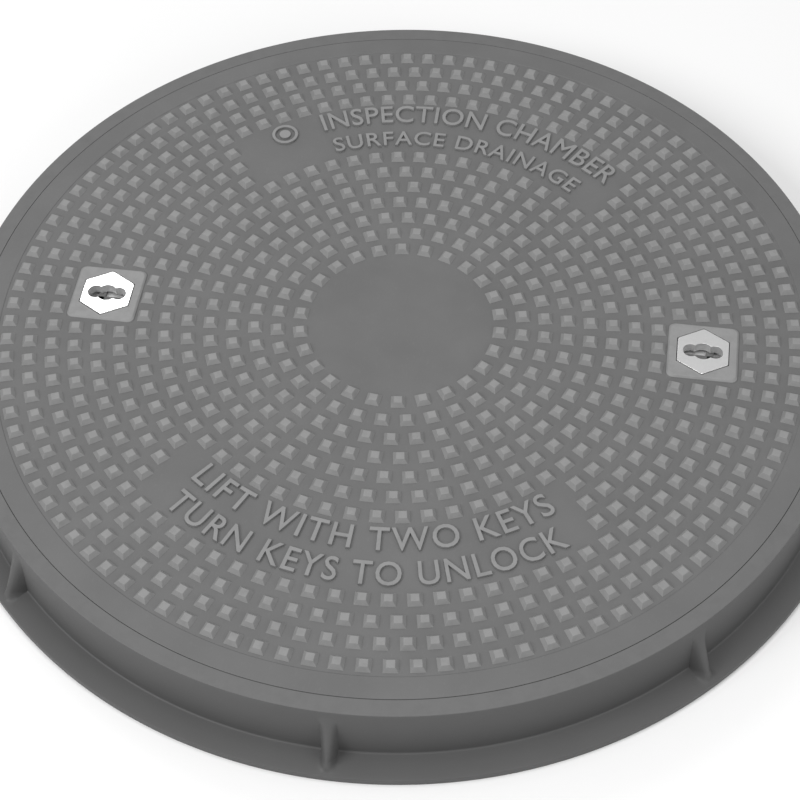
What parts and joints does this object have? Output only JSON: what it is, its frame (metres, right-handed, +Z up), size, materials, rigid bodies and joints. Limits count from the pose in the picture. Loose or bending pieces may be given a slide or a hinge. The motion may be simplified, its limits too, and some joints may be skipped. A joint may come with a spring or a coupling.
{
  "type": "manhole cover",
  "caption": "Round access cover of moulded composite in its frame ring, with a studded tread, two lifting keyways and turning lock cams.",
  "frame": {"origin": "middle of the bed face, on the ground", "axes": "+Z up through the cover; +X from the centre to the right-hand key point; +Y away from the viewer"},
  "size_m": [0.73, 0.73, 0.06],
  "materials": {
    "moulded_composite": "matte moulded glass-filled polyester",
    "moulded_composite_cover": "matte moulded glass-filled polyester",
    "rubber": "matte EPDM",
    "stainless": "cast and turned stainless steel",
    "brass": "turned"
  },
  "bodies": {
    "frame": {"frame_ring": "moulded_composite", "seat_gasket": "rubber"},
    "cover": {"cover_plate": "moulded_composite_cover", "keyhole_insert_left": "stainless", "insert_seal_left": "rubber", "stop_plate_left": "stainless", "ring_washer_left": "stainless", "ring_nut_left": "stainless", "spindle_bush_left": "brass", "wave_washer_left": "stainless", "keyhole_insert_right": "stainless", "insert_seal_right": "rubber", "stop_plate_right": "stainless", "ring_washer_right": "stainless", "ring_nut_right": "stainless", "spindle_bush_right": "brass", "wave_washer_right": "stainless"},
    "lock_left": {"lock_spindle_left": "stainless", "spindle_o_ring_left": "rubber", "lock_cam_left": "stainless", "cam_washer_left": "stainless", "cam_nut_left": "stainless"},
    "lock_right": {"lock_spindle_right": "stainless", "spindle_o_ring_right": "rubber", "lock_cam_right": "stainless", "cam_washer_right": "stainless", "cam_nut_right": "stainless"}
  },
  "joints": [
    {"name": "cover_lift", "type": "slide", "parent": "frame", "child": "cover", "axis": [0, 0, 1], "range_m": [0, 0.15]},
    {"name": "cam_turn_left", "type": "hinge", "parent": "cover", "child": "lock_left", "pos_m": [-0.234, 0, 0.015], "axis": [0, 0, -1], "range_deg": [0, 90]},
    {"name": "cam_turn_right", "type": "hinge", "parent": "cover", "child": "lock_right", "pos_m": [0.234, 0, 0.015], "axis": [0, 0, -1], "range_deg": [0, 90]}
  ]
}
